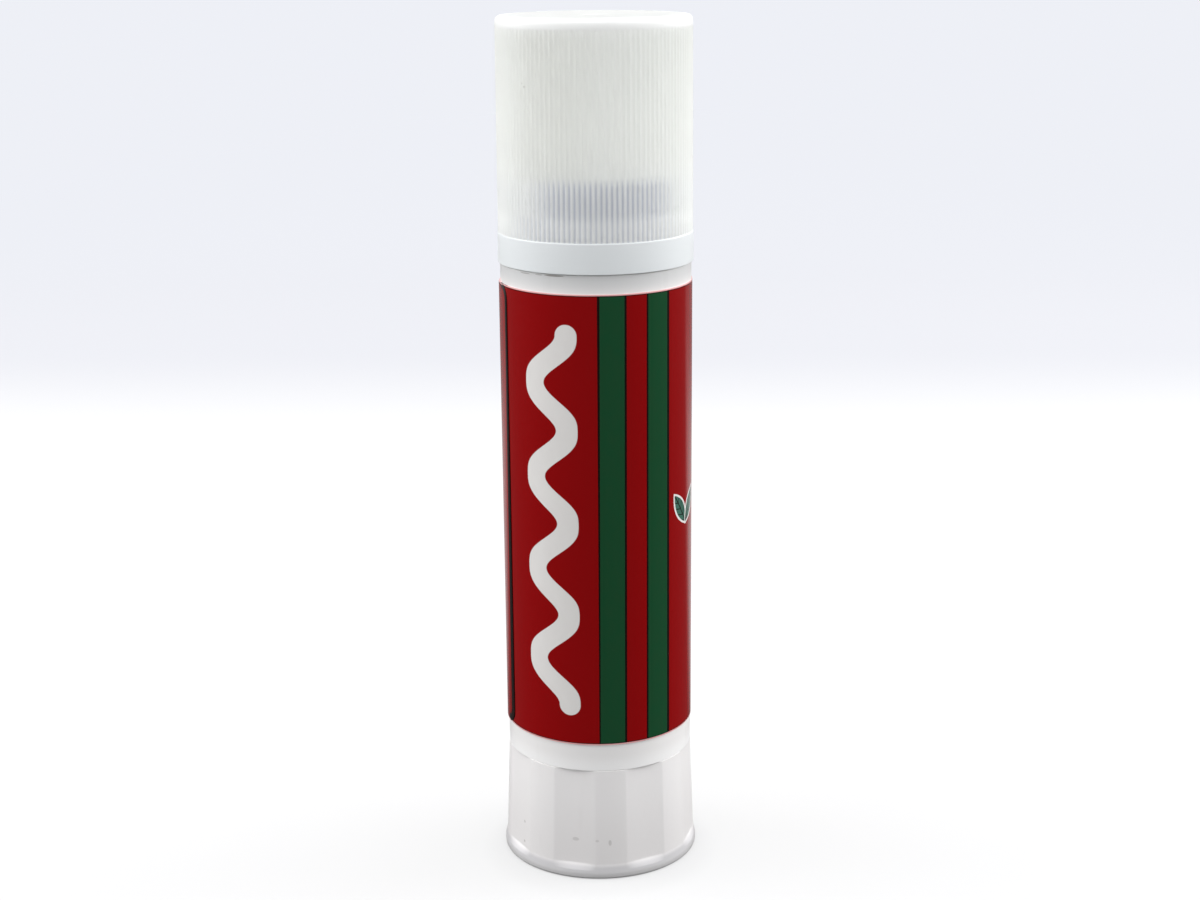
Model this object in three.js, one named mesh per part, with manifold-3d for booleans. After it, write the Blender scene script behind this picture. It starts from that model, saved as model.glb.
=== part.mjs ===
// A twist-up glue stick, standing on its knob with its cap on.
// Turning the knob turns a lead screw, and the screw lifts a carrier and the glue cast on it.
// Sizes are millimetres and +Z is up. The origin is the middle of the knob's underside.
// Angles round the stick are degrees from -Y towards +X.

import * as THREE from "three";
import { mergeVertices } from "three/addons/utils/BufferGeometryUtils.js";
import Module from "manifold-3d";

const wasm = await Module();
wasm.setup();

// Facets round one turn of a wide wall and of a narrow one
const wallSteps = 64;
const coreSteps = 32;

// Clearances
const seamGap = 0.1; // knob's rim to the barrel's lower edge
const capSeatGap = 0.2; // cap's collar to the barrel's shoulder
const capFit = 0.1; // cap's bore to the neck, all round
const turnGap = 0.3; // between walls that turn past each other
const thrustGap = 0.2; // between faces that turn on each other
const slideGap = 0.2; // carrier to the barrel's bore and guides
const pressGap = 0.05; // screw's tail to its socket, and glue to what it was cast on
const threadGap = 0.22; // nut thread to the screw's thread
const filmGap = 0.02; // label to the barrel
const reach = 1; // how far a cutting or joining body runs past the face that it cuts or joins

// Knob
const knobHeight = 15.2;
const knobLip = 0.24; // knob's rim past the barrel's wall
const knobDraft = 0.28; // growth of the wall's radius from rim to foot
const spigotStep = 0.88; // barrel's wall in to the knob's bore
const knobFloor = 2.4;
const knobRimRound = 0.15;
const footFlare = 0.56; // foot's edge past the knob's rim
const footEdge = 0.5; // rounding under the foot
const footHeight = 1.2;
const footSlope = 1.36; // rise of the foot's upper face for each millimetre towards the wall
const panelCount = 8;
const panelAngle = 26; // degrees of the round that each flat panel takes
const panelStart = 30; // degrees to the middle of the first panel
const panelSteps = 4;
const landSteps = 4;
const undersideRecess = 0.6;
const standingRing = 2.4; // width of the ring that the stick stands on
const bossRadius = 4.6;
const socketFloor = 2.6; // knob's material under the socket, above its floor

// Barrel
const barrelRadius = 12.38;
const barrelLength = 66.1; // lower edge to shoulder
const barrelEdge = 0.2;
const shoulderRound = 0.3;
const floorLift = 2; // barrel's lower edge to the underside of its floor
const floorThickness = 1.6;
const spigotLength = 5;
const spigotWall = 1.1;
const shoulderStep = 0.96; // barrel's wall in to the neck's seat
const neckSeatLength = 7;
const neckTaper = 0.4;
const neckRelief = 0.27; // neck's seat in to the rest of the neck
const neckWall = 0.95;
const neckLength = 11.2;
const mouthRound = 0.25;
const guideCount = 4;
const guideWidth = 1.6;
const guideHeight = 0.6;
const guideStart = 45; // degrees to the first guide
const guideStop = 3; // mouth down to the guides' upper ends

// Cap
const capHeight = 30.85;
const capDraft = 0.09; // loss of the ribbed wall's radius from collar to crown
const crownRound = 1.1;
const crownRoundSteps = 3;
const crownMargin = 0.15; // crown's rounding down to the ribs' upper ends
const ribCount = 118;
const ribDepth = 0.16;
const ribTuck = 0.03; // crown's edge past the ribs' upper ends
const collarLip = 0.25; // collar past the barrel's wall
const collarStep = 0.06; // collar in to the ribbed wall above it
const collarHeight = 3.8;
const collarEdge = 0.15;
const capTop = 1.1;
const capInnerRound = 0.8;
const capLead = 0.4; // flare at the cap's mouth

// Label
const labelLift = 3.7; // barrel's lower edge to the label's
const labelDrop = 2.4; // barrel's shoulder down to the label's upper edge
const filmThickness = 0.1;
const lapEnd = -64.5; // degrees to the free end of the film
const lapAngle = 20; // degrees of double film
const lapRise = 1.5; // degrees over which the film climbs onto its own start
const lapCorner = 2; // radius of the free end's corners
const lapCornerSteps = 4;
const lapBite = 0.02; // how far the lap is let into the film under it

// Lead screw
const screwPitch = 5;
const screwCore = 2.4;
const screwCrest = 3.5;
const threadCrestWidth = 1;
const threadRootWidth = 2.6;
const threadSteps = 16; // per turn
const threadSink = 0.4; // how deep the thread is let into its core
const screwEnd = 8; // mouth down to the screw's tip
const screwTipLength = 1.2;
const flangeRadius = 5;
const flangeThickness = 1.2;
const shankRadius = 2.8;
const tailAcrossFlats = 4.6;
const hexSides = 6;

// Carrier
const carrierHeight = 8.4;
const carrierFloorLift = 4;
const carrierFloor = 1.4;
const carrierWall = 1.4;
const carrierEdge = 0.3;
const nutRadius = 5.6;
const nutHeight = 7;

// Glue
const glueRecess = 2; // mouth down to the glue's face
const glueFilm = 0.1; // glue to the barrel's bore
const glueDome = 0.5;
const glueEdge = 0.8;
const glueBoreGap = 0.4; // glue's bore to the screw's crest
const glueTipGap = 0.5; // over the screw's tip

// Radii and lengths that follow from the barrel's and the screw's
const knobRimRadius = barrelRadius + knobLip;
const footRadius = knobRimRadius + footFlare;
const knobBore = barrelRadius - spigotStep;
const neckSeatRadius = barrelRadius - shoulderStep;
const neckRadius = neckSeatRadius - neckRelief;
const boreRadius = neckRadius - neckWall;
const collarRadius = barrelRadius + collarLip;
const capSkirtRadius = collarRadius - collarStep;
const capTopRadius = capSkirtRadius - capDraft;
const floorHole = shankRadius + turnGap;
const labelHeight = barrelLength - labelLift - labelDrop;

// Heights above the table
const barrelBase = knobHeight + seamGap;
const shoulderHeight = barrelBase + barrelLength;
const mouthHeight = shoulderHeight + neckLength;
const capBase = shoulderHeight + capSeatGap;
const floorUnderside = barrelBase + floorLift;
const floorTop = floorUnderside + floorThickness;
const bossTop = floorUnderside - thrustGap;
const socketBase = knobFloor + socketFloor;
const flangeBase = floorTop + thrustGap;
const threadBase = flangeBase + flangeThickness;
const screwTop = mouthHeight - screwEnd;
const carrierBase = threadBase + thrustGap;
const glueBase = carrierBase + carrierFloorLift + carrierFloor + pressGap;
const glueTop = mouthHeight - glueRecess;

const radians = THREE.MathUtils.degToRad;

// A point at an angle, radius and height.
function around(angle, radius, height) {
  return [radius * Math.sin(angle), -radius * Math.cos(angle), height];
}

// A closed solid from a geometry whose faces point outwards.
function solid(geometry) {
  const bare = geometry.index ? geometry.toNonIndexed() : geometry.clone();
  bare.deleteAttribute("normal");
  bare.deleteAttribute("uv");
  const merged = mergeVertices(bare, 1e-4);
  const corners = merged.index.array;
  const kept = [];
  for (let i = 0; i < corners.length; i += 3) {
    const [a, b, c] = [corners[i], corners[i + 1], corners[i + 2]];
    if (a !== b && b !== c && c !== a) kept.push(a, b, c);
  }
  return new wasm.Manifold(
    new wasm.Mesh({
      numProp: 3,
      vertProperties: merged.attributes.position.array,
      triVerts: new Uint32Array(kept),
    }),
  );
}

// Turns an outline of [radius, height] points about Z.
// The outline runs anticlockwise with the radius to the right, and ends on the axis or where it began.
function turned(outline, steps) {
  const points = outline.map(([r, z]) => new THREE.Vector2(r, z));
  const onAxis = outline[0][0] === 0 && outline.at(-1)[0] === 0;
  if (!onAxis) points.push(points[0].clone());
  return solid(new THREE.LatheGeometry(points, steps).rotateX(Math.PI / 2));
}

// A quarter round in an outline, from one [radius, height] to another about a centre.
function quarter(centre, from, to, radius, steps) {
  const points = [];
  for (let i = 0; i <= steps; i++) {
    const angle = radians(from + ((to - from) * i) / steps);
    points.push([
      centre[0] + radius * Math.cos(angle),
      centre[1] + radius * Math.sin(angle),
    ]);
  }
  return points;
}

// Joins rings of equally many points into a closed solid, with a flat end at the first and last ring.
// Each ring runs anticlockwise as seen from the last ring's side.
function lofted(rings) {
  const count = rings[0].length;
  const positions = rings.flat(2);
  const faces = [];
  for (let j = 0; j + 1 < rings.length; j++) {
    for (let i = 0; i < count; i++) {
      const a = j * count + i;
      const b = j * count + ((i + 1) % count);
      faces.push(a, b, b + count, a, b + count, a + count);
    }
  }
  for (const [ring, first] of [
    [rings[0], 0],
    [rings.at(-1), (rings.length - 1) * count],
  ]) {
    const middle = [0, 1, 2].map((k) => ring.reduce((sum, p) => sum + p[k], 0) / count);
    const hub = positions.length / 3;
    positions.push(...middle);
    for (let i = 0; i < count; i++) {
      const [a, b] = [first + i, first + ((i + 1) % count)];
      if (first === 0) faces.push(hub, b, a);
      else faces.push(hub, a, b);
    }
  }
  const geometry = new THREE.BufferGeometry();
  geometry.setAttribute("position", new THREE.Float32BufferAttribute(positions, 3));
  geometry.setIndex(faces);
  return solid(geometry);
}

// An upright block between two radii, at an angle round the stick.
function radialBlock(angle, inner, outer, width, low, high) {
  const block = new THREE.BoxGeometry(width, outer - inner, high - low);
  block.translate(0, -(inner + outer) / 2, (low + high) / 2);
  return solid(block.rotateZ(radians(angle)));
}

function guideAngles() {
  return Array.from({ length: guideCount }, (_, i) => guideStart + (i * 360) / guideCount);
}

// A round core with one left-hand thread, which stands off all round by a gap where it cuts a nut.
function screw(base, length, gap) {
  const core = screwCore + gap;
  const crest = screwCrest + gap;
  const flank = (screwPitch - threadCrestWidth - threadRootWidth) / 2;
  const slope = flank / (screwCrest - screwCore);
  const crestHalf = threadCrestWidth / 2 + gap;
  const buried = core - threadSink;
  const buriedHalf = crestHalf + (crest - buried) * slope;
  const turns = length / screwPitch;
  const stepTotal = Math.ceil(turns * threadSteps);
  const rings = [];
  for (let i = 0; i <= stepTotal; i++) {
    const angle = (-2 * Math.PI * i) / threadSteps;
    const height = base + (screwPitch * i) / threadSteps;
    rings.push([
      around(angle, buried, height - buriedHalf),
      around(angle, crest, height - crestHalf),
      around(angle, crest, height + crestHalf),
      around(angle, buried, height + buriedHalf),
    ]);
  }
  const stem = turned(
    [
      [0, base - screwPitch],
      [core, base - screwPitch],
      [core, base + length + screwPitch],
      [0, base + length + screwPitch],
    ],
    threadSteps,
  );
  return stem.add(lofted(rings));
}

// The turning foot: a cup with flat panels round its wall, a flared base and a socketed boss.
function makeKnob() {
  const half = radians(panelAngle / 2);
  const pitch = (2 * Math.PI) / panelCount;
  const angles = [];
  for (let i = 0; i < panelCount; i++) {
    const middle = radians(panelStart) + i * pitch;
    for (let j = 0; j < panelSteps; j++) {
      angles.push([middle - half + (2 * half * j) / panelSteps, middle]);
    }
    for (let j = 0; j < landSteps; j++) {
      angles.push([middle + half + ((pitch - 2 * half) * j) / landSteps, middle]);
    }
  }
  const round = (radius, z) => angles.map(([angle]) => around(angle, radius, z));
  const panelRadius = (radius, [angle, middle]) => {
    const off = Math.abs(angle - middle);
    return off < half ? (radius * Math.cos(half)) / Math.cos(off) : radius;
  };
  const panelled = (radius, z) => angles.map((place) => around(place[0], panelRadius(radius, place), z));
  // The foot's sloped upper face meets each flat panel in an arch, because the panel lies further in.
  const arched = (radius) =>
    angles.map((place) => {
      const own = panelRadius(radius, place);
      return around(place[0], own, footHeight + (footRadius - own) * footSlope);
    });
  const wallRadius = (z) => knobRimRadius + (knobDraft * (knobHeight - z)) / (knobHeight - footHeight);
  const body = lofted([
    round(footRadius - footEdge, 0),
    round(footRadius - footEdge * (1 - Math.SQRT1_2), footEdge * (1 - Math.SQRT1_2)),
    round(footRadius, footEdge),
    round(footRadius, footHeight),
    arched(wallRadius(footHeight)),
    panelled(wallRadius(knobHeight - knobRimRound), knobHeight - knobRimRound),
    panelled(knobRimRadius - knobRimRound, knobHeight),
  ]);
  const hollow = turned(
    [
      [0, knobFloor],
      [knobBore, knobFloor],
      [knobBore, knobHeight + reach],
      [0, knobHeight + reach],
    ],
    wallSteps,
  );
  const recess = turned(
    [
      [0, -reach],
      [footRadius - footEdge - standingRing, -reach],
      [footRadius - footEdge - standingRing, undersideRecess],
      [0, undersideRecess],
    ],
    wallSteps,
  );
  const boss = turned(
    [
      [0, knobFloor - reach],
      [bossRadius, knobFloor - reach],
      [bossRadius, bossTop],
      [0, bossTop],
    ],
    coreSteps,
  );
  return body
    .subtract(hollow)
    .subtract(recess)
    .add(boss)
    .subtract(hexBar(tailAcrossFlats + 2 * pressGap, socketBase, bossTop + reach));
}

// A hexagonal bar on the stick's axis.
function hexBar(acrossFlats, low, high) {
  const radius = acrossFlats / 2 / Math.cos(Math.PI / hexSides);
  return turned(
    [
      [0, low],
      [radius, low],
      [radius, high],
      [0, high],
    ],
    hexSides,
  );
}

// The tube in the hand: body, neck for the cap, floor, spigot into the knob, and guides down its bore.
function makeBarrel() {
  const spigotOuter = knobBore - turnGap;
  const spigotInner = spigotOuter - spigotWall;
  const mouth = barrelLength + neckLength;
  const seatTop = barrelLength + neckSeatLength;
  const floorLow = floorLift;
  const floorHigh = floorLift + floorThickness;
  let body = turned(
    [
      [floorHole, floorLow],
      [spigotInner, floorLow],
      [spigotInner, -spigotLength],
      [spigotOuter, -spigotLength],
      [spigotOuter, 0],
      [barrelRadius - barrelEdge, 0],
      [barrelRadius, barrelEdge],
      [barrelRadius, barrelLength - shoulderRound],
      [barrelRadius - shoulderRound, barrelLength],
      [neckSeatRadius, barrelLength],
      [neckSeatRadius, seatTop],
      [neckRadius, seatTop + neckTaper],
      [neckRadius, mouth - mouthRound],
      [neckRadius - mouthRound, mouth],
      [boreRadius, mouth],
      [boreRadius, floorHigh],
      [floorHole, floorHigh],
    ],
    wallSteps,
  );
  const wall = (neckRadius - boreRadius) / 2;
  for (const angle of guideAngles()) {
    const rib = [boreRadius - guideHeight, boreRadius + wall, guideWidth];
    body = body.add(radialBlock(angle, ...rib, floorLow + floorThickness / 2, mouth - guideStop));
  }
  return body;
}

// The printed film: one full wrap, with its free end lapped over its start.
function makeLabel() {
  const inner = barrelRadius + filmGap;
  const outer = inner + filmThickness;
  const wrap = turned(
    [
      [inner, 0],
      [outer, 0],
      [outer, labelHeight],
      [inner, labelHeight],
    ],
    wallSteps,
  );
  const facet = 360 / wallSteps;
  const cornerAngle = (lapCorner / outer) * (180 / Math.PI);
  const lapStart = lapEnd - lapAngle;
  const stations = [lapStart - lapRise, lapStart];
  for (let angle = Math.ceil(lapStart / facet) * facet; angle < lapEnd - cornerAngle; angle += facet) {
    if (angle > lapStart + reach) stations.push(angle);
  }
  for (let i = 0; i <= lapCornerSteps; i++) {
    stations.push(lapEnd - cornerAngle + cornerAngle * Math.sin((Math.PI / 2) * (i / lapCornerSteps)));
  }
  // The facets of the film under the lap, so that the lap lies flat on them.
  const onFacet = (angle, radius) => {
    const off = Math.abs(angle - (Math.floor(angle / facet) + 0.5) * facet);
    return (radius * Math.cos(radians(facet / 2))) / Math.cos(radians(off));
  };
  const rings = stations.map((angle, i) => {
    const into = Math.max(0, angle - (lapEnd - cornerAngle)) / cornerAngle;
    const trim = lapCorner * (1 - Math.sqrt(Math.max(0, 1 - into * into)));
    const height = i === 0 ? lapBite / 2 : filmThickness;
    const low = onFacet(angle, outer - lapBite);
    const high = onFacet(angle, outer) + (i === 0 ? -height : height);
    const a = radians(angle);
    return [
      around(a, low, labelHeight - trim),
      around(a, high, labelHeight - trim),
      around(a, high, trim),
      around(a, low, trim),
    ];
  });
  return wrap.add(lofted(rings));
}

// The push-on cap: a ribbed skirt under a smooth crown, a plain collar, and one open bore.
function makeCap() {
  const points = ribCount * 2;
  const step = (2 * Math.PI) / points;
  const ring = (radius, z) =>
    Array.from({ length: points }, (_, i) => around(i * step, radius - (i % 2 ? ribDepth : 0), z));
  const ribTop = capHeight - crownRound - crownMargin;
  const skirt = lofted([
    ring(capSkirtRadius, collarHeight / 2),
    ring(capTopRadius - ribTuck, ribTop),
  ]);
  const crown = turned(
    [
      [0, ribTop],
      [capTopRadius, ribTop],
      ...quarter([capTopRadius - crownRound, capHeight - crownRound], 0, 90, crownRound, crownRoundSteps),
      [0, capHeight],
    ],
    wallSteps,
  );
  const collar = turned(
    [
      [0, 0],
      [collarRadius - collarEdge, 0],
      [collarRadius, collarEdge],
      [collarRadius, collarHeight - collarEdge],
      [collarRadius - collarEdge, collarHeight],
      [0, collarHeight],
    ],
    wallSteps,
  );
  const bore = neckSeatRadius + capFit;
  const ceiling = capHeight - capTop;
  const hollow = turned(
    [
      [0, -reach],
      [bore + capLead, -reach],
      [bore + capLead, 0],
      [bore, capLead],
      ...quarter([bore - capInnerRound, ceiling - capInnerRound], 0, 90, capInnerRound, crownRoundSteps),
      [0, ceiling],
    ],
    wallSteps,
  );
  return skirt.add(crown).add(collar).subtract(hollow);
}

// The lead screw: a hexagonal tail for the knob, a shank and flange on the barrel's floor, and the thread.
function makeSpindle() {
  const length = screwTop - threadBase;
  const shankBase = bossTop - threadBase;
  const tailBase = socketBase + pressGap - threadBase;
  const envelope = turned(
    [
      [0, -flangeThickness / 2],
      [screwCrest + reach, -flangeThickness / 2],
      [screwCrest + reach, length - screwTipLength],
      [screwCore - screwTipLength / 2, length],
      [0, length],
    ],
    coreSteps,
  );
  const thread = screw(0, length, 0).intersect(envelope);
  const seat = turned(
    [
      [0, shankBase],
      [shankRadius, shankBase],
      [shankRadius, -flangeThickness],
      [flangeRadius, -flangeThickness],
      [flangeRadius, 0],
      [0, 0],
    ],
    coreSteps,
  );
  return thread.add(seat).add(hexBar(tailAcrossFlats, tailBase, shankBase + floorThickness / 2));
}

// The piston: a skirt that slides in the bore, a floor and rim that hold the glue, and the nut.
function makeCarrier() {
  const radius = boreRadius - slideGap;
  const inner = radius - carrierWall;
  const floorHigh = carrierFloorLift + carrierFloor;
  let body = turned(
    [
      [0, 0],
      [nutRadius, 0],
      [nutRadius, carrierFloorLift],
      [inner, carrierFloorLift],
      [inner, 0],
      [radius - carrierEdge, 0],
      [radius, carrierEdge],
      [radius, carrierHeight - carrierEdge],
      [radius - carrierEdge, carrierHeight],
      [inner, carrierHeight],
      [inner, floorHigh],
      [nutRadius, floorHigh],
      [nutRadius, nutHeight],
      [0, nutHeight],
    ],
    wallSteps,
  );
  for (const angle of guideAngles()) {
    const notch = [boreRadius - guideHeight - slideGap, boreRadius + reach, guideWidth + 2 * slideGap];
    body = body.subtract(radialBlock(angle, ...notch, -reach, carrierHeight + reach));
  }
  // The nut is cut by the same screw, where that stands at rest.
  const screwStart = threadBase - carrierBase;
  return body.subtract(screw(screwStart - screwPitch, screwPitch + carrierHeight + screwPitch, threadGap));
}

// The adhesive: cast round the screw and into the carrier's cup, with a blind bore over the screw's tip.
function makeGlue() {
  const radius = boreRadius - glueFilm;
  const cupInner = boreRadius - slideGap - carrierWall - pressGap;
  const height = glueTop - glueBase;
  const cupTop = carrierBase + carrierHeight + pressGap - glueBase;
  const nutTop = carrierBase + nutHeight + pressGap - glueBase;
  const boreTop = screwTop + glueTipGap - glueBase;
  const screwBore = screwCrest + glueBoreGap;
  let body = turned(
    [
      [0, boreTop],
      [screwBore, boreTop],
      [screwBore, nutTop],
      [nutRadius + pressGap, nutTop],
      [nutRadius + pressGap, 0],
      [cupInner, 0],
      [cupInner, cupTop],
      [radius, cupTop],
      [radius, height - glueDome - glueEdge],
      [radius - glueEdge, height - glueDome],
      [radius / 2, height - glueDome / 4],
      [0, height],
    ],
    wallSteps,
  );
  for (const angle of guideAngles()) {
    const groove = [boreRadius - guideHeight - glueFilm, boreRadius + reach, guideWidth + 2 * glueFilm];
    body = body.subtract(radialBlock(angle, ...groove, cupTop - reach, height + reach));
  }
  return body;
}

// A named piece with its finish, its base at a height above the table.
function piece(name, shape, height, colour, roughness) {
  const made = shape.getMesh();
  const geometry = new THREE.BufferGeometry();
  geometry.setAttribute("position", new THREE.BufferAttribute(made.vertProperties, 3));
  geometry.setIndex(new THREE.BufferAttribute(made.triVerts, 1));
  geometry.computeVertexNormals();
  const material = new THREE.MeshStandardMaterial({ color: colour, roughness, metalness: 0 });
  const mesh = new THREE.Mesh(geometry, material);
  mesh.name = name;
  mesh.position.z = height;
  return mesh;
}

// What is held in the hand
const held = new THREE.Group();
held.add(piece("barrel", makeBarrel(), barrelBase, "#eeeeec", 0.4));
held.add(piece("label", makeLabel(), barrelBase + labelLift, "#a3121d", 0.25));

// What turns
const turning = new THREE.Group();
turning.add(piece("knob", makeKnob(), 0, "#e6e5e6", 0.45));
turning.add(piece("spindle", makeSpindle(), threadBase, "#e9e9e6", 0.45));

// What rises
const rising = new THREE.Group();
rising.add(piece("carrier", makeCarrier(), carrierBase, "#eeeeea", 0.45));
rising.add(piece("glue_stick", makeGlue(), glueBase, "#f2f1ea", 0.5));

// What lifts off
const lifting = new THREE.Group();
lifting.add(piece("cap", makeCap(), capBase, "#e6e8e4", 0.3));

const glueStick = new THREE.Group();
glueStick.add(held, turning, rising, lifting);

export default glueStick;
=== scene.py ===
# A twist-up glue stick with its cap on, standing on a white sweep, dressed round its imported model.
# Settings are in millimetres, heights are above the table, and angles are degrees from -Y towards +X.
import math
import bpy
import numpy as np
from mathutils import Matrix, Vector


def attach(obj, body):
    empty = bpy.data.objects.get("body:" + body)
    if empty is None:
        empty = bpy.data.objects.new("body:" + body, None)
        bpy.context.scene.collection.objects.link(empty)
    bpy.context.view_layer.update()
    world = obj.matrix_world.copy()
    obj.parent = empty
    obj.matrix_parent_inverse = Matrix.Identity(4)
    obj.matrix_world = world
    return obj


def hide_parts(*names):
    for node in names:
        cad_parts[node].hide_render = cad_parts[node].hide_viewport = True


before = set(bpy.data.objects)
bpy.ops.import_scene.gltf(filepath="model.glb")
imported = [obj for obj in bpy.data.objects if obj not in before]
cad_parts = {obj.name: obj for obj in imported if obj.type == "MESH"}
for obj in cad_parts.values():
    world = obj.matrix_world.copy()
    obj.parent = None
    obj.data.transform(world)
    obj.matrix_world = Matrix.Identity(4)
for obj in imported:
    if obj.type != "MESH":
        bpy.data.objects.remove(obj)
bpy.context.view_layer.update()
mm = 0.001
scene = bpy.context.scene
scene.view_settings.view_transform = "Standard"

# Camera, at the photograph's viewing angle

viewpoint = {
    "place": (0.005012, -0.255402, 0.123485),  # metres
    "pitch": 14.829,  # degrees down
    "yaw": -1.046,
    "roll": 0.470,
    "lens": 59.717,
    "sensor": 36.0,
}


def placeCamera(view):
    pitch, yaw, roll = (math.radians(view[k]) for k in ("pitch", "yaw", "roll"))
    forward = Vector((math.sin(yaw) * math.cos(pitch), math.cos(yaw) * math.cos(pitch), -math.sin(pitch)))
    level = Vector((math.cos(yaw), -math.sin(yaw), 0))
    below = forward.cross(level)
    across = math.cos(roll) * level + math.sin(roll) * below
    down = math.cos(roll) * below - math.sin(roll) * level
    data = bpy.data.cameras.new("camera")
    data.lens = view["lens"]
    data.sensor_width = view["sensor"]
    data.clip_start = 0.01
    camera = bpy.data.objects.new("camera", data)
    turn = Matrix((across, -down, -forward)).transposed().to_4x4()
    camera.matrix_world = Matrix.Translation(view["place"]) @ turn
    scene.collection.objects.link(camera)
    scene.camera = camera


placeCamera(viewpoint)
print("camera placed")

# Surfaces


# A profile's rows from its corners, each (radius, height, bend). A radius or height may differ from column to column.
# A bent corner is the curve (1-t)^2 a + 2t(1-t) corner + t^2 b, where a and b lie one bend before and after it.
# A guard row stands a little beyond a and b, so that the corner's shading doesn't spread over the flats.
def bentRows(corners, count, steps=5):
    spots = [np.array([np.broadcast_to(np.asarray(v, float), count) for v in corner[:2]]) for corner in corners]
    t = np.linspace(0, 1, steps + 1)[:, None, None]
    rows = []
    for i, spot in enumerate(spots):
        bend = corners[i][2]
        if bend == 0:
            rows.append(spot[None])
            continue
        back = spots[i - 1] - spot
        onward = spots[(i + 1) % len(spots)] - spot
        a = spot + bend * back / np.linalg.norm(back, axis=0)
        b = spot + bend * onward / np.linalg.norm(onward, axis=0)
        rows.append((1.35 * a - 0.35 * spot)[None])
        rows.append((1 - t) ** 2 * a + 2 * t * (1 - t) * spot + t ** 2 * b)
        rows.append((1.35 * b - 0.35 * spot)[None])
    return np.concatenate(rows)


# Profile rows carried round the axis: x is radius times sin(angle), y is minus radius times cos(angle).
def carriedRound(rows, angles):
    a = np.radians(angles)
    radius, height = rows[:, 0], rows[:, 1]
    return np.stack([radius * np.sin(a), -radius * np.cos(a), height], -1) * mm


# A mesh on a grid of profile rows and columns round the axis. A profile runs anticlockwise with the radius to the
# right, which makes its faces point outwards. "poles" closes the first and last row to a point on the axis, "tube"
# joins the last row to the first, and "strip" does too but leaves the columns open and caps both ends.
def meshOn(name, grid, closing):
    rowCount, columnCount = grid.shape[:2]
    cells = np.arange(rowCount * columnCount).reshape(rowCount, columnCount)
    spots = grid.reshape(-1, 3)
    ends = []
    if closing == "poles":
        cells = cells[1:-1]
        spots = np.concatenate([grid[1:-1].reshape(-1, 3), grid[0, :1], grid[-1, :1]])
        cells = cells - columnCount
        first, last = cells[0], cells[-1]
        start, end = np.full(columnCount, len(spots) - 2), np.full(columnCount, len(spots) - 1)
        ends = np.stack([start, np.roll(first, -1), first], -1).tolist()
        ends += np.stack([last, np.roll(last, -1), end], -1).tolist()
        low, high = cells[:-1], cells[1:]
    else:
        low, high = cells, np.roll(cells, -1, axis=0)
    if closing == "strip":
        quads = np.stack([low[:, :-1], low[:, 1:], high[:, 1:], high[:, :-1]], -1)
        ends = [cells[:, 0].tolist(), cells[::-1, -1].tolist()]
    else:
        quads = np.stack([low, np.roll(low, -1, 1), np.roll(high, -1, 1), high], -1)
    mesh = bpy.data.meshes.new(name)
    mesh.from_pydata(spots.tolist(), [], quads.reshape(-1, 4).tolist() + ends)
    mesh.polygons.foreach_set("use_smooth", np.ones(len(mesh.polygons), bool))
    mesh.update()
    return mesh


# How far an angle is from the nearest of evenly spaced ones.
def offFrom(angles, start, spacing):
    return np.abs((angles - start + spacing / 2) % spacing - spacing / 2)


# Angles round one turn, with a close pair at each edge of the marks that stand every spacing degrees.
def anglesWithEdges(count, start, spacing, half, pair=0.08):
    plain = np.linspace(0, 360, count, endpoint=False)
    plain = plain[np.abs(offFrom(plain, start, spacing) - half) > 180 / count]
    marks = start + np.arange(0, 360, spacing)[:, None] + half * np.array([-1, 1])
    edges = (marks[..., None] + pair * np.array([-0.5, 0.5])).ravel() % 360
    return np.sort(np.concatenate([plain, edges]))


def addPiece(name, mesh, body, node, slot, *finishes):
    for finish in finishes:
        mesh.materials.append(finish)
    piece = bpy.data.objects.new(name, mesh)
    scene.collection.objects.link(piece)
    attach(piece, body)
    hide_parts(node)
    print(name, "has", len(mesh.polygons), "faces")


# Shader sums


# One output of a node. Sums on it add Math nodes.
class Value:
    def __init__(self, finish, socket):
        self.finish, self.socket = finish, socket

    def sum(self, operation, *numbers):
        return self.finish.node("Math", {"operation": operation}, dict(enumerate(numbers)))

    def __add__(self, other):
        return self.sum("ADD", self, other)

    def __sub__(self, other):
        return self.sum("SUBTRACT", self, other)

    def __rsub__(self, other):
        return self.sum("SUBTRACT", other, self)

    def __mul__(self, other):
        return self.sum("MULTIPLY", self, other)

    def __truediv__(self, other):
        return self.sum("DIVIDE", self, other)

    def __abs__(self):
        return self.sum("ABSOLUTE", self)

    __radd__ = __add__


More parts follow.
